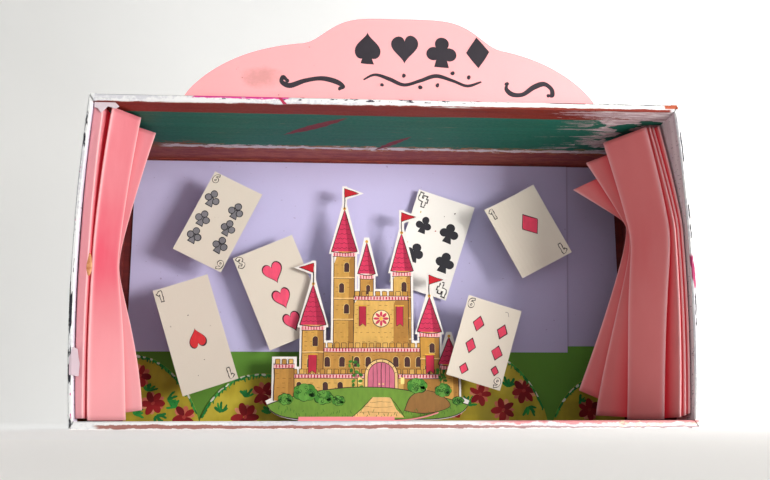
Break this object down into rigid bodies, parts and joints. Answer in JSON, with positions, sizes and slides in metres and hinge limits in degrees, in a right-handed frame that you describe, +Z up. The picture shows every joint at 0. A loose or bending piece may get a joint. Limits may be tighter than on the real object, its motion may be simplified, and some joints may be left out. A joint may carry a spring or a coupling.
{
  "type": "shoebox diorama",
  "caption": "Shoebox tray stood on its long side as a small paper stage: cut card header, pleated curtains, paper backdrop, cut-out castle and stand-off playing cards.",
  "frame": {"origin": "middle of the base, on the surface the box stands on", "axes": "+Z up, +X to the right seen from the open front, the open front faces -Y"},
  "size_m": [0.3274, 0.11, 0.223],
  "materials": {
    "painted_board": "brush-painted white, teal and maroon",
    "pink_card": "matte coloured card",
    "lavender_paper": "matte coloured paper",
    "green_paper": "matte coloured paper",
    "bush_card": "poster paint on card",
    "castle_card": "ink and felt pen on white card",
    "playing_card": "felt pen on cream card",
    "curtain_paper": "matte pleated paper",
    "white_paper": "plain white paper"
  },
  "bodies": {
    "root": {"shoebox_tray": "painted_board", "header_card": "pink_card", "sky_sheet": "lavender_paper", "sky_strip": "lavender_paper", "ground_sheet": "green_paper", "ground_strip": "green_paper", "bush_far_left": "bush_card", "bush_left": "bush_card", "bush_right": "bush_card", "bush_far_right": "bush_card", "castle_cutout": "castle_card", "castle_spacer": "white_paper", "castle_foot_strip": "pink_card", "curtain_left": "curtain_paper", "curtain_right": "curtain_paper", "card_six_clubs": "playing_card", "card_three_hearts": "playing_card", "card_one_hearts": "playing_card", "card_four_clubs": "playing_card", "card_one_diamonds": "playing_card", "card_six_diamonds": "playing_card", "spacer_six_clubs": "white_paper", "spacer_three_hearts": "white_paper", "spacer_one_hearts": "white_paper", "spacer_four_clubs": "white_paper", "spacer_one_diamonds": "white_paper", "spacer_six_diamonds": "white_paper", "corner_flap": "white_paper"}
  },
  "joints": []
}
